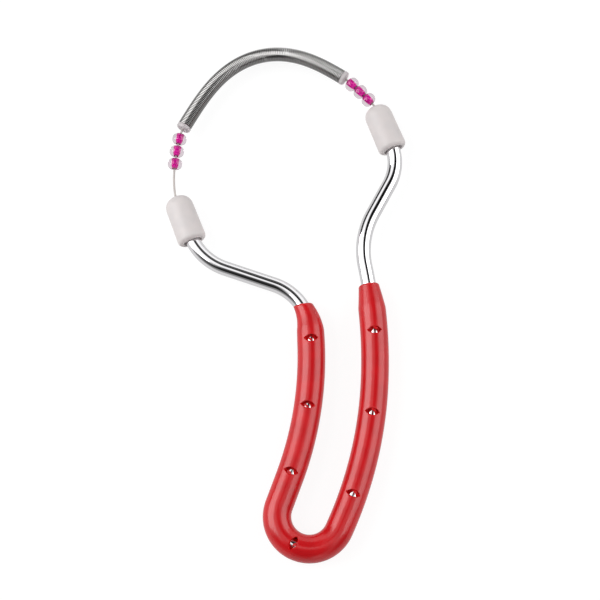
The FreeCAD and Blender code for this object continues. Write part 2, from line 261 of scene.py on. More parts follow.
def grid_mesh(name: str, points: np.ndarray, along: np.ndarray, girth: float, ring: bool = False) -> Mesh:
    """A mesh over a grid whose columns close on themselves.

    Each corner's UV is (its share of the girth, its distance along), both in millimetres.

    Args:
        name: The mesh's name.
        points: The grid, in millimetres.
        along: The distance of each row.
        girth: The length round a row.
        ring: Whether the last row joins the first.

    Returns:
        The mesh, in metres.
    """
    rows, columns = points.shape[:2]
    faces, corner_rows, corner_columns = grid_faces(rows, columns, ring)
    mesh = bpy.data.meshes.new(name)
    mesh.from_pydata((points.reshape(-1, 3) * MM).tolist(), [], faces)
    reach = np.append(along, along[-1] + abs(along[0] - along[-1]) * ring)
    pairs = np.stack([corner_columns * girth / columns, reach[corner_rows]], axis=-1).reshape(-1, 2)
    loops = np.zeros((len(mesh.loops), 2))
    loops[: len(pairs)] = pairs
    mesh.uv_layers.new(name=SURFACE_MAP).data.foreach_set("uv", loops.ravel())
    smooth(mesh)
    return mesh


def smooth(mesh: Mesh) -> None:
    """Shades a mesh smooth, apart from its sharp corners."""
    mesh.shade_smooth()
    mesh.set_sharp_from_angle(angle=SHARP_ANGLE)


def added(name: str, data: bpy.types.ID) -> bpy.types.Object:
    """Adds an object to the scene.

    Args:
        name: The object's name.
        data: Its mesh, light or camera.

    Returns:
        The object.
    """
    thing = bpy.data.objects.new(name, data)
    bpy.context.scene.collection.objects.link(thing)
    return thing


def piece(name: str, mesh: Mesh, body: str, node: str, slot: str, *finishes: Material) -> None:
    """Places a piece that stands for a CAD node.

    Args:
        name: The piece's name.
        mesh: Its mesh, in the row frame.
        body: The CAD body that it rides on.
        node: The CAD node that it stands for.
        slot: The record's material slot. It is not used.
        *finishes: Its finishes, unless its mesh has them.
    """
    thing = added(name, mesh)
    for finish in finishes:
        mesh.materials.append(finish)
    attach(thing, body)
    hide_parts(node)
    log.info("%s: %d faces, for %s", name, len(mesh.polygons), node)


@dataclass(frozen=True)
class Corner:
    """A corner of a turned outline: its place along the axis, its radius, and how far it is rounded."""

    along: float
    radius: float
    rounding: float = 0.0


def outline(corners: Sequence[Corner], steps: int = 8) -> tuple[np.ndarray, np.ndarray]:
    """A closed outline with rounded corners.

    A corner of angle 2q rounded by r starts and ends its arc r / tan q from the corner, and the arc's
    centre lies r / sin q from it, on the line that halves the corner.

    Args:
        corners: The corners, outside first and then back along the bore.
        steps: How many stretches each arc has.

    Returns:
        The places along the axis, and the radii.
    """
    places = np.array([[corner.along, corner.radius] for corner in corners])
    before_each, after_each = np.roll(places, 1, axis=0), np.roll(places, -1, axis=0)
    stretches = []
    for corner, here, before, after in zip(corners, places, before_each, after_each):
        if not corner.rounding:
            stretches.append(here[None, :])
            continue
        back = (before - here) / np.linalg.norm(before - here)
        ahead = (after - here) / np.linalg.norm(after - here)
        half = math.acos(float(np.clip(back @ ahead, -1, 1))) / 2
        halving = (back + ahead) / np.linalg.norm(back + ahead)
        centre = here + halving * corner.rounding / math.sin(half)
        first = here + back * corner.rounding / math.tan(half) - centre
        last = here + ahead * corner.rounding / math.tan(half) - centre
        share = np.linspace(0, 1, steps + 1)[:, None]
        between = math.pi - 2 * half
        arcs = (first * np.sin((1 - share) * between) + last * np.sin(share * between)) / math.sin(between)
        stretches.append(centre + arcs)
    loop = np.concatenate(stretches)
    return loop[:, 0], loop[:, 1]


def turned(name: str, corners: Sequence[Corner], around: int, place: Place, height: float) -> Mesh:
    """A turned piece's mesh: a rounded outline swept about a level axis.

    Args:
        name: The piece's name.
        corners: The outline's corners.
        around: How many points are round the axis.
        place: Where the outline's places are measured from, and the axis's heading.
        height: The axis's height.

    Returns:
        The mesh, whose faces go span by span along the outline.
    """
    along, radii = outline(corners)
    axis = BentLine(place[0], math.degrees(place[1]), [Run(max(corner.along for corner in corners))])
    points = skin(axis, height, along, radii, ring_angles(around))
    return grid_mesh(f"{name}.turned", points, along, 2 * math.pi * radii.max(), ring=True)


# The rod and its grip


@dataclass
class Rod:
    """The plated steel rod, bent into a U with two S-shaped arms."""

    diameter: float = 5.0
    around: int = 56
    step: float = 0.7
    left_lean: float = 69.0
    socket_run: float = 8.9
    left_neck: Run = arc(19.6, 49.9)
    left_arm: Run = Run(17.4)
    left_shoulder: Run = arc(18.2, -66.3)
    left_leg: Run = arc(117.0, -24.9)
    left_foot: Run = Run(9.6)
    bend: Run = arc(10.5, 175.6)
    right_leg: Run = arc(134.8, 21.4)
    right_upper: Run = arc(165.2, 14.2)
    right_shoulder: Run = arc(27.8, -39.0)
    right_arm: Run = Run(12.3)
    right_neck: Run = arc(17.6, 49.7)
    line: BentLine = field(init=False)
    height: float = field(init=False)
    bend_starts: float = field(init=False)

    def __post_init__(self) -> None:
        """Lays the line where the CAD rod is."""
        socket = Run(self.socket_run)
        left = [socket, self.left_neck, self.left_arm, self.left_shoulder, self.left_leg, self.left_foot]
        right = [self.right_leg, self.right_upper, self.right_shoulder, self.right_arm, self.right_neck]
        line = BentLine((0.0, 0.0), -self.left_lean, [*left, self.bend, *right, socket])
        self.bend_starts = sum(run.length for run in left)
        low, high = (np.array(corner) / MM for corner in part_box("frame_rod"))
        reach = self.surface(line, 0.0).reshape(-1, 3)
        own = (reach.min(axis=0) + reach.max(axis=0)) / 2
        self.line = line.moved(((low + high) / 2 - own)[:2])
        self.height = float((low + high)[2] / 2)

    def rings(self, line: BentLine) -> np.ndarray:
        """The distances of the rings along a line."""
        return np.linspace(0, line.length, int(line.length / self.step) + 1)

    def surface(self, line: BentLine, height: float) -> np.ndarray:
        """The rod's surface along a line, in full radius from end to end."""
        along = self.rings(line)
        return skin(line, height, along, np.full(len(along), self.diameter / 2), ring_angles(self.around))

    def build(self, finish: Material) -> None:
        """Makes the rod.

        Args:
            finish: The plating.
        """
        points = self.surface(self.line, self.height)
        mesh = grid_mesh("frame_rod.steel", points, self.rings(self.line), math.pi * self.diameter)
        piece("rod", mesh, TOOL, "frame_rod", "plated_rod", finish)


@dataclass
class Window:
    """A lens-shaped window through the grip, whose walls slope in to an oval on the rod.

    A lens is where two discs of radius R meet, R = (length^2 + width^2) / (4 * width), with their
    centres R - width / 2 each side of it. Its rim is rounded where it meets the grip's surface.
    """

    length: float = 4.9
    width: float = 2.4
    floor_length: float = 3.2
    floor_width: float = 2.3
    floor_height: float = 1.9
    pin_lean: tuple[float, float, float] = (0.4, 0.55, 0.0)
    rim: float = 0.16
    points: int = 20
    rim_steps: int = 5
    rim_angle: float = math.radians(68)
    flare: float = 0.8

    def lens(self, growth: np.ndarray) -> tuple[np.ndarray, np.ndarray]:
        """The lens's outline, and what it grows to.

        Args:
            growth: How far each outline has grown.

        Returns:
            The places across the leg and along it, one row for each outline.
        """
        disc = (self.length**2 + self.width**2) / (4 * self.width)
        offset = disc - self.width / 2
        grown = disc + growth[:, None]
        share = np.linspace(-1, 1, self.points, endpoint=False)[None, :] * np.arccos(offset / grown)
        across, along = grown * np.sin(share), grown * np.cos(share) - offset
        return np.concatenate([across, -across], axis=1), np.concatenate([along, -along], axis=1)

    def cutter(self, place: np.ndarray, heading: float, height: float, radius: float) -> np.ndarray:
        """The solid that cuts the window, as rings of its outline from below the grip to above it.

        At an angle b of the rim's rounding, the outline has grown by rim * (1 - cos b), and stands
        rim * (1 - sin b) below the grip's surface. Past the rim it grows on in the same direction. The
        floor is an oval, (L/2 cos t, W/2 sin t), that is off the rim's middle, as the mould's pins leaned.

        Args:
            place: The middle of the window, x and y.
            heading: The rod's heading there, in radians.
            height: The rod's height.
            radius: The grip's radius.

        Returns:
            The points, as rings of points of three.
        """
        bend = np.linspace(0, self.rim_angle, self.rim_steps)
        growth = self.rim * (1 - np.cos(bend))
        sunk = self.rim * (1 - np.sin(bend))
        growth = np.append(growth, growth[-1] + self.flare * math.sin(self.rim_angle))
        sunk = np.append(sunk, sunk[-1] - self.flare * math.cos(self.rim_angle))
        across, along = self.lens(growth)
        tall = np.sqrt(radius**2 - np.minimum(across[:1], radius) ** 2) - sunk[:, None]
        turn = np.pi - np.linspace(0, 2 * np.pi, 2 * self.points, endpoint=False)
        across = np.vstack([self.floor_length / 2 * np.cos(turn), across])
        along = np.vstack([self.floor_width / 2 * np.sin(turn), along])
        tall = np.vstack([np.full(2 * self.points, self.floor_height), tall])
        across, along = (np.concatenate([side[::-1], side]) for side in (across, along))
        tall = np.concatenate([-tall[::-1], tall])
        ahead, beside = (side[0] for side in sides_of(np.array([heading])))
        middle = np.array([place[0], place[1], height])
        rings = middle + along[..., None] * ahead + across[..., None] * beside + tall[..., None] * UP
        half = len(rings) // 2
        rings[half - 1 : half + 1] += self.pin_lean
        return rings


@dataclass
class Grip:
    """The grip moulded over the rod's U, with tapered tips, a fine parting line and seven windows."""

    diameter: float = 9.2
    tip_diameter: float = 6.8
    taper: float = 8.2
    shoulder: float = 0.35
    tip_round: float = 0.7
    tip_rings: int = 7
    left_tip_slant: float = 1.8
    left_tip_thinned: float = 0.75
    thinnest: float = 0.15
    slant_reach: float = 13.0
    slant_fade: float = 1.5
    bore: float = 5.04
    left_bare_rod: float = 47.5
    right_bare_rod: float = 53.3
    window_from_left_tip: float = 11.8
    window_from_right_tip: float = 16.7
    left_window_pitch: float = 22.7
    right_window_pitch: float = 27.8
    windows_per_leg: int = 3
    bend_window_share: float = 0.46
    window: Window = field(default_factory=Window)
    around: int = 88
    step: float = 0.45
    bore_step: float = 0.9
    parting_height: float = 0.035
    parting_width: float = 0.06
    parting_points: tuple[float, ...] = (-1.0, -0.5, 0.5, 1.0)

    def radius(self, from_tip: np.ndarray) -> np.ndarray:
        """The radius at a distance from the nearer tip.

        The taper and the full bar meet in a rounded shoulder: with t and f the two radii there,
        r = f - w * log(1 + exp((f - t) / w)), where w is how softly they meet.

        Args:
            from_tip: The distances.

        Returns:
            The radii.
        """
        full, tip = self.diameter / 2, self.tip_diameter / 2
        rise = (full - tip) / self.taper
        soft = self.shoulder * rise / 2
        return full - soft * np.logaddexp(0, (full - tip - rise * from_tip) / soft)

    def profile(self, first: float, last: float) -> tuple[np.ndarray, np.ndarray]:
        """The outline carried along the rod: out along the surface, and back through the bore.

        Args:
            first: Where the left tip is along the rod.
            last: Where the right tip is.

        Returns:
            The distances along the rod, and the radii.
        """
        bend = np.linspace(np.pi / 2, 0, self.tip_rings)[:-1]
        along = np.linspace(first + self.tip_round, last - self.tip_round, int((last - first) / self.step))
        radii = self.radius(np.minimum(along - first, last - along))
        rounded = radii[0] - self.tip_round
        tip_along = self.tip_round * (1 - np.sin(bend))
        tip_radii = rounded + self.tip_round * np.cos(bend)
        back = np.linspace(last, first, int((last - first) / self.bore_step))
        distances = np.concatenate([first + tip_along, along, last - tip_along[::-1], back])
        sizes = np.concatenate([tip_radii, radii, tip_radii[::-1], np.full(len(back), self.bore / 2)])
        return distances, sizes

    def window_places(self, rod: Rod, first: float, last: float) -> np.ndarray:
        """Where the windows are.

        Args:
            rod: The rod.
            first: Where the left tip is along it.
            last: Where the right tip is.

        Returns:
            The distances along the rod: the left leg's, the right leg's and the bend's.
        """
        count = np.arange(self.windows_per_leg)
        left = first + self.window_from_left_tip + count * self.left_window_pitch
        right = last - self.window_from_right_tip - count * self.right_window_pitch
        bend = rod.bend_starts + rod.bend.length * self.bend_window_share
        return np.concatenate([left, right, [bend]])

    def surface(self, rod: Rod, first: float, along: np.ndarray, radii: np.ndarray) -> np.ndarray:
        """The outline carried along the rod, with the parting line and the slanted left tip.

        The left tip's outer side is thinner and reaches further up the rod, by a share
        (1 - s/reach)^fade * (1 - cos a)/2 of the two sizes at a distance s from the tip and an angle a.
        The parting line is a ridge on both sides of the grip, highest in its middle.

        Args:
            rod: The rod that it is moulded over.
            first: Where the left tip is along it.
            along: The outline's distances along it.
            radii: The outline's radii.

        Returns:
            The points, as rings of points of three.
        """
        across_line = self.parting_width * np.array(self.parting_points) / self.diameter
        angles = ring_angles(self.around, [*across_line, *(math.pi + across_line)])
        off_line = np.abs(np.angle(np.exp(2j * angles))) / 2 * self.diameter / 2
        ridge = self.parting_height * np.clip(1 - off_line / self.parting_width, 0, 1)
        faded = np.clip(1 - (along - first) / self.slant_reach, 0, 1)[:, None] ** self.slant_fade
        share = faded * (1 - np.cos(angles)) / 2
        radii = radii[:, None]
        thinned = np.maximum(radii - self.left_tip_thinned * share, self.bore / 2 + self.thinnest)
        ridged = thinned + ridge * (radii > self.bore / 2 + self.tip_round)
        points = skin(rod.line, rod.height, along, np.where(radii > self.bore / 2, ridged, radii), angles)
        ahead, _ = sides_of(rod.line.at(along)[1])
        return points - (self.left_tip_slant * share)[..., None] * ahead[:, None, :]

    def build(self, rod: Rod, finish: Material, window_finish: Material) -> None:
        """Makes the grip and cuts its windows.

        Args:
            rod: The rod that it is moulded over.
            finish: The plastic.
            window_finish: The plastic on the windows' walls: duller, and a lighter red than the grip's,
                painted light in their shade.
        """
        first = self.left_bare_rod + rod.socket_run
        last = rod.line.length - self.right_bare_rod - rod.socket_run
        along, radii = self.profile(first, last)
        points = self.surface(rod, first, along, radii)
        body = grid_mesh("handle_grip.plastic", points, along, math.pi * self.diameter, ring=True)
        body.materials.append(finish)
        places, headings = rod.line.at(self.window_places(rod, first, last))
        cutters = [
            self.window.cutter(place, heading, rod.height, self.diameter / 2)
            for place, heading in zip(places, headings)
        ]
        mesh = cut(body, cutters, window_finish)
        smooth(mesh)
        piece("grip", mesh, TOOL, "handle_grip", "red_grip")


def cut(body: Mesh, cutters: Sequence[np.ndarray], finish: Material) -> Mesh:
    """A mesh with solids cut out of it.

    Args:
        body: The mesh.
        cutters: Each solid as rings of its outline from bottom to top, in millimetres.
        finish: What the cut faces are given.

    Returns:
        The cut mesh.
    """
    tool = bpy.data.meshes.new("cutters")
    points, faces = [], []
    for rings in cutters:
        start = sum(len(solid) for solid in points)
        faces += [[start + number for number in face] for face in grid_faces(*rings.shape[:2])[0]]
        points.append(rings.reshape(-1, 3) * MM)
    tool.from_pydata(np.concatenate(points).tolist(), [], faces)
    tool.materials.append(finish)
    base, solids = added("cut_from", body), added("cutters", tool)
    modifier = base.modifiers.new("windows", "BOOLEAN")
    modifier.object, modifier.operation = solids, "DIFFERENCE"
    modifier.solver, modifier.material_mode = "EXACT", "TRANSFER"
    graph = bpy.context.evaluated_depsgraph_get()
    mesh = bpy.data.meshes.new_from_object(base.evaluated_get(graph))
    mesh.name = body.name + ".cut"
    for thing in (base, solids):
        bpy.data.objects.remove(thing)
    return mesh


# What is on the rod's ends, and between them


@dataclass
class Caps:
    """The two plastic caps: a nose for the cord, a knot chamber, a seat for the rod and a wider mouth."""

    length: float = 17.0
    nose_diameter: float = 9.4
    mouth_diameter: float = 9.9
    nose_round: float = 3.8
    rim_round: float = 1.4
    lip_round: float = 0.25
    mouth_bore: float = 6.3
    mouth_depth: float = 5.1
    seat_depth: float = 6.0
    seat_bore: float = 5.02
    chamber: float = 3.2
    chamber_bore: float = 2.7
    cord_bore: float = 1.25
    inner_round: float = 0.2
    around: int = 72

    @property
    def nose_reach(self) -> float:
        """How far the nose stands out from the rod's end."""
        return self.length - self.mouth_depth - self.seat_depth

    def corners(self) -> list[Corner]:
        """A cap's outline.

        Returns:
            Its corners, measured from the nose towards the rod.
        """
        mouth_from = self.length - self.mouth_depth
        seat_from = mouth_from - self.seat_depth
        chamber_from = seat_from - self.chamber
        return [
            Corner(0, self.nose_diameter / 2, self.nose_round),
            Corner(self.length, self.mouth_diameter / 2, self.rim_round),
            Corner(self.length, self.mouth_bore / 2, self.lip_round),
            Corner(mouth_from, self.mouth_bore / 2, self.inner_round),
            Corner(mouth_from, self.seat_bore / 2, self.inner_round),
            Corner(seat_from, self.seat_bore / 2),
            Corner(seat_from, self.chamber_bore / 2),
            Corner(chamber_from, self.chamber_bore / 2, self.inner_round),
            Corner(chamber_from, self.cord_bore / 2),
            Corner(0, self.cord_bore / 2, self.inner_round),
        ]

    def nose(self, rod: Rod, side: Side) -> Place:
        """Where a cap's nose is.

        Args:
            rod: The rod.
            side: Which end of it the cap is on.

        Returns:
            The nose's middle, and the heading from it towards the rod.
        """
        point, heading = rod.line.spot(0.0 if side is Side.LEFT else rod.line.length)
        if side is Side.RIGHT:
            heading += math.pi
        return point - level(heading) * self.nose_reach, heading

    def build(self, rod: Rod, finish: Material) -> None:
        """Makes both caps.

        Args:
            rod: The rod that they are pushed on to.
            finish: The plastic.
        """
        for side in Side:
            name = f"{side.value}_cap"
            mesh = turned(name, self.corners(), self.around, self.nose(rod, side), rod.height)
            piece(name, mesh, TOOL, name, "white_cap", finish)


@dataclass
class Cord:
    """The nylon line from a knot in one cap to a knot in the other, with its places for what it carries.

    The headings, in degrees, are those that the line leaves the left cap with, and those where each row of
    beads and the spring start and finish. They are scaled by a bow and turned by a lean, found so that the
    line ends in the far cap.
    """

    diameter: float = 0.75
    knot_diameter: float = 2.2
    knot_relief: float = 0.08
    knot_lobes: int = 2
    knot_twist: float = 4.0
    knot_rings: int = 22
    knot_begins: float = 0.04
    knot_edge: float = 1.001
    nose_bend: float = 1.5
    bare: float = 8.6
    leaves: float = 98.4
    left_beads_start: float = 86.1
    left_beads_finish: float = 76.4
    plug_swing: float = 2.0
    spring_starts: float = 60.7
    spring_finishes: float = -32.6
    right_beads_start: float = -41.7
    right_beads_finish: float = -48.2
    left_row: float = 13.8
    right_row: float = 12.12
    left_plug_gap: float = 1.4
    right_plug_gap: float = 0.9
    plug_head: float = 1.5
    spring_length: float = 68.8
    bow_skew: float = 1.17
    bow_arcs: int = 10
    around: int = 20
    step: float = 0.3
    tries: int = 30
    nudge: float = 1e-5
    closed: float = 1e-9
    inner: float = field(init=False)
    line: BentLine = field(init=False)

    def lay(self, rod: Rod, caps: Caps) -> None:
        """Lays the line between the caps.

        Newton's method moves the lean and the bow by the inverse of how they carry the line's end, until
        the end is on the far cap's knot.

        Args:
            rod: The rod.
            caps: The caps.
        """
        self.inner = caps.nose_reach - caps.chamber / 2
        left_nose, left_heading = caps.nose(rod, Side.LEFT)
        right_nose, right_heading = caps.nose(rod, Side.RIGHT)
        start = left_nose + level(left_heading) * self.inner
        goal = right_nose + level(right_heading) * self.inner
        first, last = math.degrees(left_heading) + 180, math.degrees(right_heading)
        ends = (first, last - 360 * round(last / 360))
        shape = np.array([0.0, 1.0])
        for _ in range(self.tries):
            miss = self.laid(shape, start, ends).finish - goal
            if np.hypot(*miss) < self.closed:
                break
            nudged = [self.laid(shape + step, start, ends) for step in np.eye(2) * self.nudge]
            carried = np.array([(line.finish - goal - miss) / self.nudge for line in nudged])
            shape = shape - np.linalg.solve(carried.T, miss)
        self.line = self.laid(shape, start, ends)
        log.info("cord: %.1f mm, lean %.3f, bow %.4f", self.line.length, *shape)

    def laid(self, shape: np.ndarray, start: np.ndarray, ends: tuple[float, float]) -> BentLine:
        """The line for a lean and a bow.

        Along the spring the heading goes from its start to its finish as cos(pi * share^skew).

        Args:
            shape: The lean in degrees, and the bow.
            start: The line's first point.
            ends: Its first and last heading in degrees.

        Returns:
            The line.
        """
        middle = (self.spring_starts + self.spring_finishes) / 2
        swing = (self.spring_starts - self.spring_finishes) / 2
        shares = np.arange(1, self.bow_arcs + 1) / self.bow_arcs
        bowed = middle + swing * np.cos(math.pi * shares**self.bow_skew)
        stops = [
            (self.nose_bend, self.leaves),
            (self.bare, self.left_beads_start),
            (self.left_row, self.left_beads_finish),
            (self.left_plug_gap, self.spring_starts + self.plug_swing),
            (self.plug_head, self.spring_starts),
            *((self.spring_length / self.bow_arcs, heading) for heading in bowed),
            (self.plug_head, self.spring_finishes - self.plug_swing),
            (self.right_plug_gap, self.right_beads_start),
            (self.right_row, self.right_beads_finish),
        ]
        lengths, wanted = (np.array(column) for column in zip(*stops))
        headings = np.concatenate([ends[:1], shape[0] + shape[1] * wanted, ends[1:]])
        lengths = np.append(lengths, self.nose_bend)
        bends = [Run(length, turn) for length, turn in zip(lengths, np.diff(headings))]
        return BentLine(start, ends[0], [Run(self.inner), *bends, Run(self.inner)])

    @property
    def left_beads_from(self) -> float:
        """Where the left beads begin."""
        return self.inner + self.nose_bend + self.bare

    @property
    def spring_from(self) -> float:
        """Where the spring begins."""
        return self.left_beads_from + self.left_row + self.left_plug_gap + self.plug_head

    @property
    def spring_to(self) -> float:
        """Where the spring ends."""
        return self.spring_from + self.spring_length

    @property
    def right_beads_from(self) -> float:
        """Where the right beads begin."""
        return self.spring_to + self.plug_head + self.right_plug_gap

    def build(self, height: float, finish: Material) -> None:
        """Makes the line and the knot at each end.

        A knot is a ball, r = sqrt(R^2 - d^2) at a distance d from its middle, whose surface rises and
        falls by a few percent with its wound turns, as cos(lobes * a + twist * d). A ring is on a knot
        where it is more than knot_edge times as thick as the line.

        Args:
            height: The line's height.
            finish: The nylon.
        """
        ball, thin = self.knot_diameter / 2, self.diameter / 2
        line = self.line.longer(ball)
        bend = np.linspace(self.knot_begins, math.pi - math.asin(thin / ball), self.knot_rings)
        knot = ball - ball * np.cos(bend)
        plain = np.linspace(knot[-1], line.length - knot[-1], int(line.length / self.step))[1:-1]
        along = np.concatenate([knot, plain, line.length - knot[::-1]])
        from_knot = np.minimum(along, line.length - along) - ball
        radii = np.sqrt(np.maximum(ball**2 - from_knot**2, np.where(from_knot < 0, 0.0, thin**2)))
        angles = ring_angles(self.around)
        winding = self.knot_lobes * angles[None, :] + self.knot_twist * from_knot[:, None]
        on_knot = (radii > thin * self.knot_edge)[:, None]
        lumpy = np.where(on_knot, 1 + self.knot_relief * np.cos(winding), 1.0)
        points = skin(line, height, along, radii[:, None] * lumpy, angles)
        mesh = grid_mesh("cord.line", points, along, math.pi * self.diameter)
        piece("cord", mesh, TOOL, "cord", "nylon_line", finish)


@dataclass
class Plugs:
    """The flanged bushes in the spring's ends."""

    head_diameter: float = 5.0
    head: float = 1.5
    head_round: float = 0.7
    back_round: float = 0.12
    spigot: float = 3.0
    spigot_diameter: float = 3.6
    spigot_round: float = 0.3
    bore: float = 1.25
    around: int = 56

    def corners(self) -> list[Corner]:
        """A plug's outline.

        Returns:
            Its corners, measured from the head's face into the spring.
        """
        return [
            Corner(0, self.head_diameter / 2, self.head_round),
            Corner(self.head, self.head_diameter / 2, self.back_round),
            Corner(self.head, self.spigot_diameter / 2),
            Corner(self.head + self.spigot, self.spigot_diameter / 2, self.spigot_round),
            Corner(self.head + self.spigot, self.bore / 2),
            Corner(0, self.bore / 2, self.back_round),
        ]

    def build(self, cord: Cord, height: float, finish: Material) -> None:
        """Makes both plugs.

        Args:
            cord: The cord that they are threaded on.
            height: The cord's height.
            finish: The plastic.
        """
        ends = ((Side.LEFT, cord.spring_from, 0.0), (Side.RIGHT, cord.spring_to, math.pi))
        for side, distance, turn in ends:
            name = f"{side.value}_plug"
            point, heading = cord.line.spot(distance)
            place = (point - self.head * level(heading + turn), heading + turn)
            mesh = turned(name, self.corners(), self.around, place, height)
            piece(name, mesh, TOOL, name, "clear_plug", finish)


@dataclass
class Beads:
    """The glass beads, whose bores are lined with colour."""

    diameter: float = 4.9
    length: float = 3.6
    bore: float = 1.6
    end_round: float = 1.5
    bore_round: float = 0.15
    per_side: int = 3
    around: int = 64

    def corners(self) -> list[Corner]:
        """A bead's outline.

        Returns:
            Its corners, measured from the bead's end.
        """
        return [
            Corner(0, self.diameter / 2, self.end_round),
            Corner(self.length, self.diameter / 2, self.end_round),
            Corner(self.length, self.bore / 2, self.bore_round),
            Corner(0, self.bore / 2, self.bore_round),
        ]

    def build(self, cord: Cord, height: float, glass: Material, lining: Material) -> None:
        """Makes the beads, each on its own body.

        Args:
            cord: The cord that they are threaded on.
            height: The cord's height.
            glass: The beads' glass.
            lining: The colour inside their bores.
        """
        left = (Side.LEFT, cord.left_beads_from, cord.left_row)
        right = (Side.RIGHT, cord.right_beads_from, cord.right_row)
        for side, begin, row in (left, right):
            for number in range(self.per_side):
                name = f"{side.value}_bead_{number + 1}"
                point, heading = cord.line.spot(begin + (number + 0.5) * row / self.per_side)
                place = (point - self.length / 2 * level(heading), heading)
                mesh = turned(name, self.corners(), self.around, place, height)
                self.line_bore(mesh)
                piece(name, mesh, name, name, "lined_glass", glass, lining)

    def line_bore(self, mesh: Mesh) -> None:
        """Gives the faces of the bore the second finish.

        Args:
            mesh: A bead's mesh.
        """
        radii = outline(self.corners())[1]
        inside = np.maximum(radii, np.roll(radii, -1)) < (self.bore + self.bore_round) / 2
        mesh.polygons.foreach_set("material_index", np.repeat(inside, self.around).astype(np.int32))


@dataclass
class CoilSpring:
    """The close-wound spring, one round wire bowed along the cord."""

    diameter: float = 5.0
    wire: float = 0.55
    clearance: float = 0.01
    around: int = 8
    per_turn: int = 22
    fine: int = 4000

    def build(self, cord: Cord, height: float, finish: Material) -> None:
        """Winds the spring.

        The winding's angle grows by 2 pi (1 - outer * curvature) / (wire + clearance) for each millimetre
        of the cord, so that its turns are shut on the inside of the bow. The wire's middle is
        W(a) = C(s) + rho * (B cos a + Z sin a), and its skin is W + r * (outward * cos b + F * sin b), with
        F at a right angle to outward and to the wire.

        Args:
            cord: The cord that it is threaded on.
            height: The cord's height.
            finish: The steel.
        """
        end = self.wire / 2 + self.clearance
        fine = np.linspace(cord.spring_from + end, cord.spring_to - end, self.fine)
        shut = 1 - self.diameter / 2 * np.abs(cord.line.curvature(fine))
        density = 2 * math.pi * shut / (self.wire + self.clearance)
        wound = np.concatenate([[0.0], np.cumsum((density[1:] + density[:-1]) / 2 * np.diff(fine))])
        turns = wound[-1] / (2 * math.pi)
        angle = np.linspace(0, wound[-1], int(turns * self.per_turn) + 1)
        flat, headings = cord.line.at(np.interp(angle, wound, fine))
        _, beside = sides_of(headings)
        outward = turned_to(beside, UP, angle)
        middle = lifted(flat, height) + outward * (self.diameter - self.wire) / 2
        tangent = np.gradient(middle, axis=0)
        tangent /= np.linalg.norm(tangent, axis=1, keepdims=True)
        across = np.cross(tangent, outward)
        section = np.linspace(0, 2 * math.pi, self.around, endpoint=False)
        ring = turned_to(outward[:, None, :], across[:, None, :], section)
        points = middle[:, None, :] + ring * self.wire / 2
        along = np.concatenate([[0.0], np.cumsum(np.linalg.norm(np.diff(middle, axis=0), axis=1))])
        log.info("coil_spring: %.1f turns, %.0f mm of wire", turns, along[-1])
        mesh = grid_mesh("coil_spring.wire", points, along, math.pi * self.wire)
        piece("spring", mesh, TOOL, "coil_spring", "spring_wire", finish)


# Finishes


class Tree:
    """A node tree that is built one node at a time."""

    def __init__(self, tree: bpy.types.NodeTree) -> None:
        """Empties the tree."""
        self.tree = tree
        tree.nodes.clear()

    def add(self, kind: str, inputs: dict | None = None, **settings: object) -> bpy.types.Node:
        """Adds a node.

        Args:
            kind: The node's type.
            inputs: What its sockets are fed: other nodes' outputs, or values.
            **settings: Its settings.

        Returns:
            The node.
        """
        node = self.tree.nodes.new(kind)
        for name, value in settings.items():
            setattr(node, name, value)
        for socket, value in (inputs or {}).items():
            if isinstance(value, Socket):
                self.tree.links.new(value, node.inputs[socket])
            else:
                node.inputs[socket].default_value = value
        return node

    def math(self, operation: str, *values: object) -> Socket:
        """The result of a sum."""
        return self.add("ShaderNodeMath", dict(enumerate(values)), operation=operation).outputs[0]

    def ramp(self, value: Socket, low: float, high: float, start: float = 0.0, end: float = 1.0) -> Socket:
        """Goes smoothly from start to end as a value goes from low to high."""
        inputs = {"Value": value, "From Min": low, "From Max": high, "To Min": start, "To Max": end}
        return self.add("ShaderNodeMapRange", inputs, interpolation_type="SMOOTHSTEP").outputs["Result"]

    def mix(self, factor: Socket, first: Colour, second: Colour | Socket) -> Socket:
        """A colour between two others.

        Args:
            factor: How far it is from the first to the second.
            first: The first colour.
            second: The second.

        Returns:
            The colour.
        """
        node = self.tree.nodes.new("ShaderNodeMix")
        node.data_type = "RGBA"
        sockets = [socket for socket in node.inputs if socket.enabled]
        for socket, value in zip(sockets, (factor, first, second)):
            if isinstance(value, Socket):
                self.tree.links.new(value, socket)
            else:
                socket.default_value = (*value, 1.0)
        return next(socket for socket in node.outputs if socket.enabled)

    def noise(self, place: Socket, scale: Socket | float, detail: float) -> Socket:
        """A soft random pattern, whose patches are 1 / scale across."""
        inputs = {"Vector": place, "Scale": scale, "Detail": detail}
        return self.add("ShaderNodeTexNoise", inputs).outputs["Fac"]

    def patches(self, size: Socket, detail: float) -> Socket:
        """A soft random pattern in the piece, whose patches have a size in millimetres."""
        place = self.add("ShaderNodeTexCoord").outputs["Object"]
        return self.noise(place, self.math("DIVIDE", 1 / MM, size), detail)

    def surface_map(self) -> tuple[Socket, Socket]:
        """Reads a piece's own map.

        Returns:
            The places round the piece and along it, in millimetres.
        """
        place = self.add("ShaderNodeUVMap", uv_map=SURFACE_MAP).outputs["UV"]
        apart = self.add("ShaderNodeSeparateXYZ", {"Vector": place})
        return apart.outputs["X"], apart.outputs["Y"]

    def group_of(self, effect: NodeGroup, **inputs: float) -> bpy.types.Node:
        """Places a shared effect.

        Args:
            effect: The effect's group.
            **inputs: The values of its inputs, by their names in small letters.

        Returns:
            The group's node.
        """
        node = self.tree.nodes.new("ShaderNodeGroup")
        node.node_tree = effect
        for name, value in inputs.items():
            node.inputs[name.replace("_", " ").title()].default_value = value
        return node


def tree_of(owner: Material | bpy.types.World) -> Tree:
    """The tree of a material or a world, emptied."""
    owner.use_nodes = True
    return Tree(owner.node_tree)


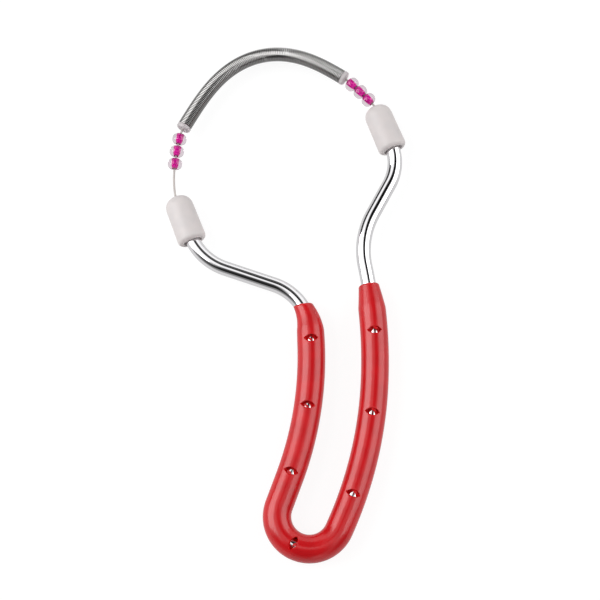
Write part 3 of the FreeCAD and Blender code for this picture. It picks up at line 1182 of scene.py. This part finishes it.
def effect(
    name: str, inputs: dict[str, float], outputs: Sequence[str]
) -> tuple[NodeGroup, Tree, bpy.types.Node]:
    """An empty group for an effect that more than one finish uses.

    Args:
        name: The effect's name.
        inputs: Its inputs and their first values.
        outputs: Its outputs.

    Returns:
        The group, its tree, and its input node.
    """
    group = bpy.data.node_groups.new(name, "ShaderNodeTree")
    for title, value in inputs.items():
        group.interface.new_socket(title, in_out="INPUT", socket_type="NodeSocketFloat").default_value = value
    for title in outputs:
        group.interface.new_socket(title, in_out="OUTPUT", socket_type="NodeSocketFloat")
    tree = Tree(group)
    return group, tree, tree.add("NodeGroupInput")


@dataclass
class Effects:
    """The effects that the finishes share, each built once. The sizes that they take are in millimetres."""

    patch_detail: float = 2.0
    smear_detail: float = 4.0
    smear_share: float = 0.35
    mark_edge: float = 0.16
    grain_detail: float = 3.0
    wave_detail: float = 1.0
    wave_height: float = 4.0
    wave_range: tuple[float, float] = (0.3, 0.7)
    line_detail: float = 3.0
    line_range: tuple[float, float] = (0.35, 0.65)
    handling: NodeGroup = field(init=False)
    moulded: NodeGroup = field(init=False)
    drawn: NodeGroup = field(init=False)

    def __post_init__(self) -> None:
        """Builds each group."""
        self.handling = self._handling()
        self.moulded = self._moulded()
        self.drawn = self._drawn()

    def _handling(self) -> NodeGroup:
        """Soft patches where fingers have been, with finer smears within them.

        Returns:
            A group that puts out a mask, which is 1 inside the marks.
        """
        sizes = {"Patch Size": 9.0, "Smear Size": 1.2, "Cover": 0.5}
        group, tree, given = effect("handling marks", sizes, ["Mask"])
        patches = tree.patches(given.outputs["Patch Size"], self.patch_detail)
        smears = tree.patches(given.outputs["Smear Size"], self.smear_detail)
        smeared = tree.math("MULTIPLY_ADD", tree.math("SUBTRACT", smears, 0.5), self.smear_share, patches)
        raised = tree.math("SUBTRACT", smeared, tree.math("SUBTRACT", 1.0, given.outputs["Cover"]))
        tree.add("NodeGroupOutput", {"Mask": tree.ramp(raised, -self.mark_edge, self.mark_edge)})
        return group

    def _moulded(self) -> NodeGroup:
        """The skin of a moulding: a fine grain, and slow waves where the plastic shrank.

        Returns:
            A group that puts out the skin's height, and a value from 0 to 1 that follows its waves.
        """
        sizes = {"Grain Size": 0.25, "Wave Size": 6.0}
        group, tree, given = effect("moulded skin", sizes, ["Height", "Mottle"])
        grain = tree.patches(given.outputs["Grain Size"], self.grain_detail)
        waves = tree.patches(given.outputs["Wave Size"], self.wave_detail)
        height = tree.math("MULTIPLY_ADD", waves, self.wave_height, grain)
        tree.add("NodeGroupOutput", {"Height": height, "Mottle": tree.ramp(waves, *self.wave_range)})
        return group

    def _drawn(self) -> NodeGroup:
        """Fine lines along a drawn or pulled length, from its own map of girth and distance.

        Returns:
            A group that puts out the lines' height, and the same as a value from 0 to 1.
        """
        sizes = {"Line Width": 0.05, "Line Length": 6.0}
        group, tree, given = effect("drawn lines", sizes, ["Height", "Lines"])
        around, along = tree.surface_map()
        across = tree.math("DIVIDE", around, given.outputs["Line Width"])
        ahead = tree.math("DIVIDE", along, given.outputs["Line Length"])
        place = tree.add("ShaderNodeCombineXYZ", {"X": across, "Y": ahead}).outputs["Vector"]
        lines = tree.noise(place, 1.0, self.line_detail)
        tree.add("NodeGroupOutput", {"Height": lines, "Lines": tree.ramp(lines, *self.line_range)})
        return group


class Texture(Enum):
    """How a finish's surface came to be."""

    MOULDED = "moulded"
    DRAWN = "drawn"


@dataclass(frozen=True)
class Finish:
    """A finish: its colours, how it takes the light, and how making and handling vary it.

    The colour goes from colour to second_colour with the surface's own texture, and the roughness from
    roughness to handled_roughness with the marks of handling. Sizes are in millimetres: the texture's
    size and length are a moulding's grain and waves, or a drawn line's width and length.
    """

    name: str
    texture: Texture
    colour: Colour
    second_colour: Colour
    roughness: float
    handled_roughness: float
    relief: float
    texture_size: float
    texture_length: float
    patch_size: float = 9.0
    cover: float = 0.5
    metallic: float = 0.0
    transmission: float = 0.0
    ior: float = 1.5

    def colour_over(self, tree: Tree, variation: Socket) -> Socket:
        """The colour where the surface's own texture has a value from 0 to 1."""
        return tree.mix(variation, self.colour, self.second_colour)

    def make(self, effects: Effects) -> Material:
        """Builds the material.

        Args:
            effects: The shared effects.

        Returns:
            The material.
        """
        material = bpy.data.materials.new(self.name)
        tree = tree_of(material)
        handling = tree.group_of(effects.handling, patch_size=self.patch_size, cover=self.cover)
        if self.texture is Texture.MOULDED:
            sizes = {"grain_size": self.texture_size, "wave_size": self.texture_length}
            surface = tree.group_of(effects.moulded, **sizes)
            variation = surface.outputs["Mottle"]
        else:
            sizes = {"line_width": self.texture_size, "line_length": self.texture_length}
            surface = tree.group_of(effects.drawn, **sizes)
            variation = surface.outputs["Lines"]
        relief = {"Height": surface.outputs["Height"], "Distance": self.relief * MM, "Strength": 1.0}
        inputs = {
            "Base Color": self.colour_over(tree, variation),
            "Roughness": tree.ramp(handling.outputs["Mask"], 0, 1, self.roughness, self.handled_roughness),
            "Metallic": self.metallic,
            "IOR": self.ior,
            "Transmission Weight": self.transmission,
            "Normal": tree.add("ShaderNodeBump", relief).outputs["Normal"],
        }
        shader = tree.add("ShaderNodeBsdfPrincipled", inputs)
        tree.add("ShaderNodeOutputMaterial", {"Surface": shader.outputs["BSDF"]})
        return material


@dataclass(frozen=True)
class WoundFinish(Finish):
    """The finish of a wire wound shut, whose sides have painted shade that darkens them between turns.

    With u the place round the wire from its outer side, the share of colour left by the painted shade
    is the ramp of cos(2 pi u / girth) from groove_low to groove_high.
    """

    girth: float = 1.0
    groove_low: float = 0.0
    groove_high: float = 0.8
    painted_groove_shade: float = 0.3

    def colour_over(self, tree: Tree, variation: Socket) -> Socket:
        """The drawn wire's colour, with painted shade that darkens it between the turns.

        Args:
            tree: The material's tree.
            variation: The value of the drawn lines, from 0 to 1.

        Returns:
            The colour.
        """
        around, _ = tree.surface_map()
        # painted shade: the wire's colour is darkened on its sides, between the turns
        outward = tree.math("COSINE", tree.math("MULTIPLY", around, 2 * math.pi / self.girth))
        painted_light_left = tree.ramp(outward, self.groove_low, self.groove_high)
        drawn = super().colour_over(tree, variation)
        shaded = tuple(channel * self.painted_groove_shade for channel in self.second_colour)
        return tree.mix(painted_light_left, shaded, drawn)


PLATING = Finish(
    "bright plated steel", Texture.DRAWN, (0.88, 0.87, 0.88), (0.84, 0.83, 0.85),
    roughness=0.05, handled_roughness=0.11, relief=0.0008, texture_size=0.25, texture_length=9.0,
    patch_size=14.0, cover=0.45, metallic=1.0,
)
RED_PLASTIC = Finish(
    "glossy red plastic", Texture.MOULDED, (0.67, 0.0085, 0.013), (0.60, 0.007, 0.011),
    roughness=0.18, handled_roughness=0.27, relief=0.005, texture_size=0.5, texture_length=5.0,
    patch_size=16.0, cover=0.4, ior=1.52,
)
# The windows' walls: the grip's plastic made duller, and painted a lighter red as painted light in their
# shaded recesses.
WINDOW_PLASTIC_PAINTED_LIGHTER = Finish(
    "dull red plastic with painted light", Texture.MOULDED, (0.78, 0.008, 0.012), (0.70, 0.007, 0.010),
    roughness=0.5, handled_roughness=0.6, relief=0.002, texture_size=0.2, texture_length=3.0,
    ior=1.2,
)
WHITE_PLASTIC = Finish(
    "matte white plastic", Texture.MOULDED, (0.765, 0.71, 0.70), (0.725, 0.68, 0.675),
    roughness=0.46, handled_roughness=0.56, relief=0.002, texture_size=0.22, texture_length=4.0,
    cover=0.35,
)
NYLON = Finish(
    "nylon line", Texture.DRAWN, (0.74, 0.69, 0.66), (0.66, 0.61, 0.58),
    roughness=0.28, handled_roughness=0.38, relief=0.002, texture_size=0.12, texture_length=5.0,
    cover=0.3, transmission=0.35, ior=1.53,
)
SPRING_STEEL = WoundFinish(
    "drawn spring steel", Texture.DRAWN, (0.345, 0.34, 0.335), (0.28, 0.275, 0.27),
    roughness=0.12, handled_roughness=0.2, relief=0.0008, texture_size=0.06, texture_length=4.0,
    patch_size=12.0, metallic=1.0, girth=math.pi * CoilSpring.wire,
)
CLEAR_PLASTIC = Finish(
    "milky clear plastic", Texture.MOULDED, (0.92, 0.86, 0.87), (0.88, 0.82, 0.84),
    roughness=0.3, handled_roughness=0.38, relief=0.001, texture_size=0.2, texture_length=2.0,
    transmission=0.4, ior=1.49,
)
PINK_GLASS = Finish(
    "faintly pink glass", Texture.MOULDED, (0.97, 0.86, 0.92), (0.95, 0.82, 0.89),
    roughness=0.02, handled_roughness=0.05, relief=0.0006, texture_size=0.8, texture_length=2.0,
    cover=0.3, transmission=1.0, ior=1.52,
)
BEAD_LINING = Finish(
    "magenta lining paint", Texture.MOULDED, (0.76, 0.010, 0.36), (0.62, 0.007, 0.29),
    roughness=0.45, handled_roughness=0.55, relief=0.002, texture_size=0.15, texture_length=1.0,
    ior=1.15,
)


# Floor, light and camera


def grey(value: float) -> tuple[float, ...]:
    """An even colour for a socket."""
    return (value, value, value, 1.0)


def direction(off_zenith: float, azimuth: float) -> np.ndarray:
    """The direction at an angle off straight up and at an azimuth, both in degrees."""
    tilt = math.radians(off_zenith)
    return np.array([*(math.sin(tilt) * level(math.radians(azimuth))), math.cos(tilt)])


@dataclass(frozen=True)
class Lamp:
    """A flat lamp that looks at the tool, by its direction in degrees, and its lengths in metres."""

    name: str
    off_zenith: float
    azimuth: float
    away: float
    width: float
    length: float
    radiance: float

    def hang(self, target: np.ndarray) -> None:
        """Makes the lamp. Its power is pi * area * radiance.

        Args:
            target: Where it looks, in metres.
        """
        light = bpy.data.lights.new(self.name, type="AREA")
        light.shape = "RECTANGLE"
        light.size, light.size_y = self.width, self.length
        light.energy = math.pi * self.width * self.length * self.radiance
        lamp = added(self.name, light)
        lamp.location = target + direction(self.off_zenith, self.azimuth) * self.away
        lamp.rotation_euler = (0.0, math.radians(self.off_zenith), math.radians(self.azimuth))


@dataclass(frozen=True)
class DarkPlace:
    """A round dark place in the sky that gloss sees, by its angles in degrees and how dark it is."""

    name: str
    off_zenith: float
    azimuth: float
    radius: float
    soft: float
    depth: float

    def shade(self, tree: Tree, towards: Socket) -> Socket:
        """What the place leaves of the light: 1 - depth inside it, and 1 outside.

        Args:
            tree: The world's tree.
            towards: The direction that is looked in.

        Returns:
            The share of the light.
        """
        inputs = {0: towards, 1: direction(self.off_zenith, self.azimuth)}
        near = tree.add("ShaderNodeVectorMath", inputs, operation="DOT_PRODUCT").outputs["Value"]
        outside, inside = (math.cos(math.radians(self.radius + side * self.soft)) for side in (1, -1))
        return tree.ramp(near, outside, inside, 1.0, 1.0 - self.depth)


@dataclass(frozen=True)
class Studio:
    """The pale floor, the soft light and the camera of the photograph, in millimetres and degrees.

    In gloss, the dark place of the camera goes from a first angle to a second and fades over a third, and
    the sky is shaded below the horizon's height.
    """

    target: tuple[float, float, float] = (4.68, -2.02, 4.93)
    camera_away: float = 560.0
    camera_tilt: float = 16.0
    lens: float = 100.0
    sensor: float = 36.0
    clip: tuple[float, float] = (10.0, 10000.0)
    floor_side: float = 3000.0
    floor_albedo: float = 0.85
    shadow_share: float = 0.16
    floor_glow: float = 0.9
    floor_in_gloss: float = 0.58
    sky_seen: float = 1.0
    sky_diffuse: float = 0.29
    sky_glossy: float = 1.12
    lamps: tuple[Lamp, ...] = (
        Lamp("left softbox", 52.0, 171.0, away=0.9, width=0.82, length=0.74, radiance=3.3),
        Lamp("right softbox", 57.0, 9.0, away=0.9, width=0.74, length=0.9, radiance=1.95),
    )
    camera_dark_across: tuple[float, float, float] = (-2.0, 21.0, 4.0)
    camera_dark_ahead: tuple[float, float, float] = (8.0, 22.0, 5.0)
    horizon_height: float = 28.0
    horizon_shade: float = 0.84
    dark_places: tuple[DarkPlace, ...] = (
        DarkPlace("boom", 35.0, 84.0, radius=18.0, soft=3.0, depth=0.92),
        DarkPlace("camera stand", 42.0, 265.0, radius=30.0, soft=9.0, depth=0.97),
        DarkPlace("stand's foot", 58.0, 220.0, radius=15.0, soft=7.0, depth=0.8),
        DarkPlace("front wall", 82.0, 236.0, radius=38.0, soft=5.0, depth=0.7),
        DarkPlace("doorway", 79.0, 139.0, radius=18.0, soft=6.0, depth=0.97),
        DarkPlace("ceiling", 30.0, 24.0, radius=14.0, soft=12.0, depth=0.3),
        DarkPlace("right wall", 80.0, -33.0, radius=24.0, soft=16.0, depth=0.9),
    )

    def set_up(self) -> None:
        """Makes all of it."""
        self.lay_floor()
        self.light_sky()
        for lamp in self.lamps:
            lamp.hang(np.array(self.target) * MM)
        self.place_camera()
        bpy.context.scene.view_settings.view_transform = "Standard"

    def lay_floor(self) -> None:
        """A level floor that looks white, greyer in gloss, and keeps a part of the tool's shadow."""
        half = self.floor_side * MM / 2
        mesh = bpy.data.meshes.new("floor")
        corners = [(-half, -half, 0), (half, -half, 0), (half, half, 0), (-half, half, 0)]
        mesh.from_pydata(corners, [], [(0, 1, 2, 3)])
        material = bpy.data.materials.new("white table")
        tree = tree_of(material)
        path = tree.add("ShaderNodeLightPath")
        shiny = path.outputs["Is Glossy Ray"]
        through = tree.math("MAXIMUM", path.outputs["Is Camera Ray"], path.outputs["Is Transmission Ray"])
        seen = tree.math("MAXIMUM", through, shiny)
        brightness = self.choose(tree, shiny, self.floor_glow, self.floor_in_gloss)
        shadowed = tree.add("ShaderNodeBsdfDiffuse", {"Color": grey(self.shadow_share)})
        glow = tree.add("ShaderNodeEmission", {"Strength": brightness})
        white = tree.add("ShaderNodeAddShader", {0: shadowed.outputs[0], 1: glow.outputs[0]})
        plain = tree.add("ShaderNodeBsdfDiffuse", {"Color": grey(self.floor_albedo)})
        mixed = tree.add("ShaderNodeMixShader", {0: seen, 1: plain.outputs[0], 2: white.outputs[0]})
        tree.add("ShaderNodeOutputMaterial", {"Surface": mixed.outputs[0]})
        mesh.materials.append(material)
        added("floor", mesh)

    def light_sky(self) -> None:
        """A white sky, which gloss sees with the camera's and the room's dark places in it."""
        world = bpy.data.worlds.new("white room")
        bpy.context.scene.world = world
        tree = tree_of(world)
        towards = tree.add("ShaderNodeTexCoord").outputs["Generated"]
        apart = tree.add("ShaderNodeSeparateXYZ", {"Vector": towards})
        x, y, z = (apart.outputs[axis] for axis in "XYZ")
        across = self.band(tree, tree.math("ARCTAN2", x, z), *self.camera_dark_across)
        ahead = self.band(tree, tree.math("ARCTAN2", y, z), *self.camera_dark_ahead)
        gloss = tree.math("SUBTRACT", 1.0, tree.math("MULTIPLY", across, ahead))
        rising = tree.ramp(z, 0.0, math.sin(math.radians(self.horizon_height)), self.horizon_shade, 1.0)
        for shade in [rising, *(place.shade(tree, towards) for place in self.dark_places)]:
            gloss = tree.math("MULTIPLY", gloss, shade)
        gloss = tree.math("MULTIPLY", gloss, self.sky_glossy)
        path = tree.add("ShaderNodeLightPath")
        shiny = tree.math("MAXIMUM", path.outputs["Is Glossy Ray"], path.outputs["Is Transmission Ray"])
        lit = self.choose(tree, shiny, self.sky_diffuse, gloss)
        strength = self.choose(tree, path.outputs["Is Camera Ray"], lit, self.sky_seen)
        sky = tree.add("ShaderNodeBackground", {"Color": grey(1.0), "Strength": strength})
        tree.add("ShaderNodeOutputWorld", {"Surface": sky.outputs[0]})

    @staticmethod
    def choose(tree: Tree, which: Socket, first: Socket | float, second: Socket | float) -> Socket:
        """The first value where which is 0, and the second where it is 1."""
        other = tree.math("SUBTRACT", 1.0, which)
        return tree.math("MULTIPLY_ADD", which, second, tree.math("MULTIPLY", other, first))

    @staticmethod
    def band(tree: Tree, angle: Socket, low: float, high: float, soft: float) -> Socket:
        """A band of directions.

        Args:
            tree: The world's tree.
            angle: The angle in radians.
            low: Where the band begins, in degrees.
            high: Where it ends.
            soft: Over how many degrees it fades outside.

        Returns:
            1 in the band and 0 past its soft edges.
        """
        low, high, soft = (math.radians(value) for value in (low, high, soft))
        rises = tree.ramp(angle, low - soft, low)
        falls = tree.ramp(angle, high, high + soft, 1.0, 0.0)
        return tree.math("MULTIPLY", rises, falls)

    def place_camera(self) -> None:
        """Hangs the camera over the tool, leaned back from straight down."""
        optics = bpy.data.cameras.new("camera")
        optics.lens, optics.sensor_width = self.lens, self.sensor
        optics.clip_start, optics.clip_end = (distance * MM for distance in self.clip)
        camera = added("camera", optics)
        tilt = math.radians(self.camera_tilt)
        away = np.array([0.0, -math.sin(tilt), math.cos(tilt)]) * self.camera_away
        camera.location = (np.array(self.target) + away) * MM
        camera.rotation_euler = (tilt, 0.0, 0.0)
        bpy.context.scene.camera = camera


def main() -> None:
    """Builds the tool, its floor, its light and its camera."""
    logging.basicConfig(level=logging.INFO, format="%(message)s")
    effects = Effects()
    rod = Rod()
    rod.build(PLATING.make(effects))
    Grip().build(rod, RED_PLASTIC.make(effects), WINDOW_PLASTIC_PAINTED_LIGHTER.make(effects))
    caps = Caps()
    caps.build(rod, WHITE_PLASTIC.make(effects))
    cord = Cord()
    cord.lay(rod, caps)
    cord.build(rod.height, NYLON.make(effects))
    Plugs().build(cord, rod.height, CLEAR_PLASTIC.make(effects))
    CoilSpring().build(cord, rod.height, SPRING_STEEL.make(effects))
    Beads().build(cord, rod.height, PINK_GLASS.make(effects), BEAD_LINING.make(effects))
    Studio().set_up()


if __name__ == "__main__":
    main()
